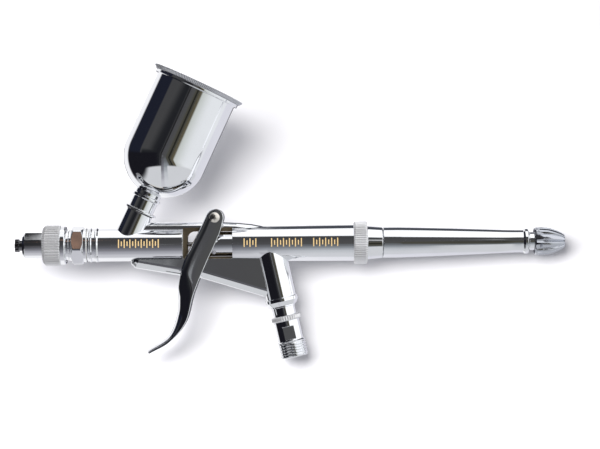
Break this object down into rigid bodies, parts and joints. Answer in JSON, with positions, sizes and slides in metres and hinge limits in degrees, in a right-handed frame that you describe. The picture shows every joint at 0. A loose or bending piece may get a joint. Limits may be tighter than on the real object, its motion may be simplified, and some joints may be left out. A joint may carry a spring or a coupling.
{
  "type": "airbrush gun",
  "caption": "Chromed trigger airbrush with a tilted lidded gravity cup, needle stop knob and threaded air inlet.",
  "frame": {"origin": "on the needle axis, at the front of the nose's cylindrical wall", "axes": "+X along the needle axis from the nozzle to the tail knob, +Z to the paint cup's side, XZ is the mirror plane"},
  "size_m": [0.1895, 0.033, 0.1024],
  "materials": {
    "chrome": "mirror polished",
    "knurled_chrome": "straight knurled, satin",
    "brass": "turned",
    "spring_steel": "ground",
    "ptfe": "matte",
    "seal_rubber": "matte"
  },
  "bodies": {
    "gun_body": {"needle_cap": "chrome", "air_cap": "chrome", "head_ring": "knurled_chrome", "fluid_nozzle": "brass", "nozzle_seal": "ptfe", "head_base": "chrome", "head_seal": "ptfe", "main_body": "chrome", "cup_socket": "chrome", "valve_casing": "chrome", "needle_packing": "ptfe", "packing_screw": "brass", "trigger_pivot": "chrome", "pivot_nut": "chrome", "spring_case": "chrome", "tail_collar": "knurled_chrome", "handle": "chrome", "pin_gland": "chrome", "pin_o_ring": "seal_rubber", "valve_nut": "chrome", "adapter_washer": "knurled_chrome", "hose_adapter": "chrome"},
    "trigger": {"trigger": "chrome", "push_roller": "brass", "roller_pin": "spring_steel"},
    "needle_carriage": {"needle": "spring_steel", "chuck_tube": "chrome", "chuck_nut": "chrome", "needle_spring": "spring_steel"},
    "air_valve": {"valve_pin": "brass", "valve_o_ring": "seal_rubber", "valve_spring": "spring_steel"},
    "stop_spindle": {"stop_spindle": "chrome"},
    "stop_knob": {"stop_knob": "chrome"},
    "paint_cup": {"cup": "chrome", "cup_seal": "seal_rubber"},
    "cup_lid": {"cup_lid": "knurled_chrome"}
  },
  "joints": [
    {"name": "trigger_pull", "type": "hinge", "parent": "gun_body", "child": "trigger", "pos_m": [0.06555, 0, 0.00915], "axis": [0, -1, 0], "range_deg": [0, 20], "stiffness_Nm_per_rad": 0.3},
    {"name": "needle_slide", "type": "slide", "parent": "gun_body", "child": "needle_carriage", "axis": [1, 0, 0], "range_m": [0, 0.00435], "deforming": ["needle_spring"]},
    {"name": "valve_slide", "type": "slide", "parent": "gun_body", "child": "air_valve", "axis": [0.2164, 0, -0.9763], "range_m": [0, 0.00154], "deforming": ["valve_spring"]},
    {"name": "stop_knob_turn", "type": "hinge", "parent": "stop_spindle", "child": "stop_knob", "pos_m": [0.18, 0, 0], "axis": [1, 0, 0], "range_deg": [0, 1081]},
    {"name": "stop_slide", "type": "slide", "parent": "gun_body", "child": "stop_spindle", "axis": [1, 0, 0], "range_m": [0, 0.00225]},
    {"name": "cup_lift", "type": "slide", "parent": "gun_body", "child": "paint_cup", "axis": [0.4274, 0, 0.9041], "range_m": [0, 0.012]},
    {"name": "lid_lift", "type": "slide", "parent": "paint_cup", "child": "cup_lid", "axis": [0.4274, 0, 0.9041], "range_m": [0, 0.012]}
  ],
  "couplings": [
    {"joint": "needle_slide", "follows": "trigger_pull", "m_per_rad": 0.0124},
    {"joint": "valve_slide", "follows": "trigger_pull", "m_per_rad": 0.00436},
    {"joint": "stop_knob_turn", "follows": "stop_slide", "rad_per_m": 8377.6}
  ]
}
